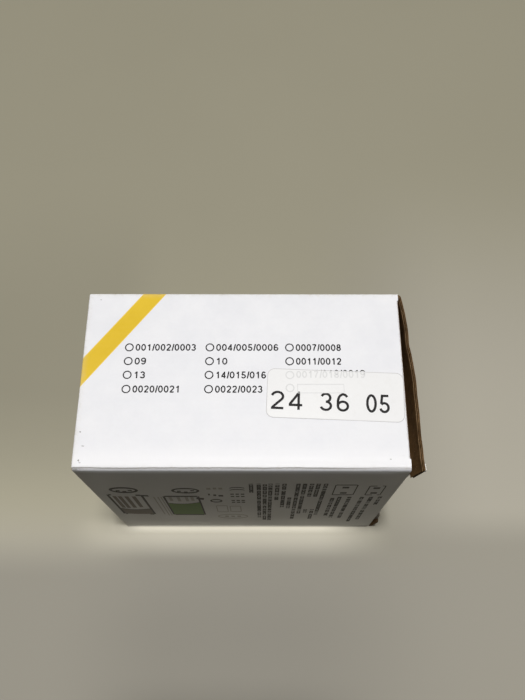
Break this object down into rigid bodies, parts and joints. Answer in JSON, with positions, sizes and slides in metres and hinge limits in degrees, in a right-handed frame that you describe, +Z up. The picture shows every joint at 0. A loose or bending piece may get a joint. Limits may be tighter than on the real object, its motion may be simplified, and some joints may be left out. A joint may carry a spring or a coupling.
{
  "type": "boxed headlight bulb",
  "caption": "White fluted-board retail carton with a hinged end, holding a pair of LED headlight bulbs with fan coolers in a folded board cradle.",
  "frame": {"origin": "middle of the bottom of the whole object's box, where the carton rests", "axes": "+X along the carton towards its opening end, +Y to its back, +Z up"},
  "size_m": [0.156, 0.0876, 0.1439],
  "materials": {
    "carton_board": "matte",
    "label_paper": "satin",
    "leaflet_paper": "matte",
    "kraft_board": "matte",
    "core_copper": "satin",
    "strip_board": "satin",
    "led_phosphor": "satin",
    "cap_metal": "satin",
    "sink_aluminium": "satin",
    "collar_steel": "satin",
    "seal_rubber": "matte",
    "circuit_board": "satin",
    "housing_plastic": "matte",
    "rotor_plastic": "satin",
    "terminal_metal": "satin",
    "screw_steel": "satin"
  },
  "bodies": {
    "carton": {"top_panel": "carton_board", "base_panel": "carton_board", "front_panel": "carton_board", "back_panel": "carton_board", "glue_tab": "carton_board", "lock_flap_lower": "carton_board", "lock_flap_upper": "carton_board", "lock_flap_front": "carton_board", "lock_flap_back": "carton_board", "stock_label": "label_paper", "leaflet": "leaflet_paper"},
    "closure": {"closure_panel": "carton_board"},
    "tuck": {"tuck_flap": "carton_board"},
    "dust_upper": {"dust_flap_upper": "carton_board"},
    "dust_lower": {"dust_flap_lower": "carton_board"},
    "cradle": {"cradle_front": "kraft_board", "cradle_back": "kraft_board", "cradle_deck_outer": "kraft_board", "cradle_deck_inner": "kraft_board"},
    "bulb_1": {"lamp_core_1": "core_copper", "led_strips_1": "strip_board", "led_chips_1": "led_phosphor", "tip_cap_1": "cap_metal", "heat_sink_1": "sink_aluminium", "retaining_ring_1": "collar_steel", "collar_seal_1": "seal_rubber", "driver_board_1": "circuit_board", "fan_housing_1": "housing_plastic", "rear_cover_1": "housing_plastic", "blade_terminals_1": "terminal_metal", "cover_screws_1": "screw_steel"},
    "collar_1": {"lamp_collar_1": "collar_steel"},
    "fan_1": {"fan_rotor_1": "rotor_plastic"},
    "bulb_2": {"lamp_core_2": "core_copper", "led_strips_2": "strip_board", "led_chips_2": "led_phosphor", "tip_cap_2": "cap_metal", "heat_sink_2": "sink_aluminium", "retaining_ring_2": "collar_steel", "collar_seal_2": "seal_rubber", "driver_board_2": "circuit_board", "fan_housing_2": "housing_plastic", "rear_cover_2": "housing_plastic", "blade_terminals_2": "terminal_metal", "cover_screws_2": "screw_steel"},
    "collar_2": {"lamp_collar_2": "collar_steel"},
    "fan_2": {"fan_rotor_2": "rotor_plastic"}
  },
  "joints": [
    {"name": "closure_hinge", "type": "hinge", "parent": "carton", "child": "closure", "pos_m": [0.07205, 0.0437, 0.0719], "axis": [0, 0, 1], "range_deg": [0, 160]},
    {"name": "tuck_fold", "type": "hinge", "parent": "closure", "child": "tuck", "pos_m": [0.07609, -0.04182, 0.0719], "axis": [0, 0, 1], "range_deg": [0, 16]},
    {"name": "dust_upper_fold", "type": "hinge", "parent": "carton", "child": "dust_upper", "pos_m": [0.07205, 0, 0.1422], "axis": [0, -1, 0], "range_deg": [0, 96]},
    {"name": "dust_lower_fold", "type": "hinge", "parent": "carton", "child": "dust_lower", "pos_m": [0.07205, 0, 0.0016], "axis": [0, 1, 0], "range_deg": [0, 96]},
    {"name": "cradle_slide", "type": "slide", "parent": "carton", "child": "cradle", "axis": [1, 0, 0], "range_m": [0, 0.0055]},
    {"name": "bulb_slide_1", "type": "slide", "parent": "cradle", "child": "bulb_1", "axis": [1, 0, 0], "range_m": [0, 0.014]},
    {"name": "collar_twist_1", "type": "hinge", "parent": "bulb_1", "child": "collar_1", "pos_m": [-0.00535, -0.0011, 0.03765], "axis": [1, 0, 0], "continuous": true},
    {"name": "fan_spin_1", "type": "hinge", "parent": "bulb_1", "child": "fan_1", "pos_m": [0.0351, -0.0011, 0.03765], "axis": [1, 0, 0], "continuous": true},
    {"name": "bulb_slide_2", "type": "slide", "parent": "cradle", "child": "bulb_2", "axis": [1, 0, 0], "range_m": [0, 0.014]},
    {"name": "collar_twist_2", "type": "hinge", "parent": "bulb_2", "child": "collar_2", "pos_m": [-0.00535, -0.0011, 0.10565], "axis": [1, 0, 0], "continuous": true},
    {"name": "fan_spin_2", "type": "hinge", "parent": "bulb_2", "child": "fan_2", "pos_m": [0.0351, -0.0011, 0.10565], "axis": [1, 0, 0], "continuous": true}
  ],
  "couplings": [
    {"joint": "tuck_fold", "follows": "closure_hinge", "ratio": 0.1},
    {"joint": "dust_upper_fold", "follows": "closure_hinge", "ratio": 0.6},
    {"joint": "dust_lower_fold", "follows": "closure_hinge", "ratio": 0.6}
  ]
}
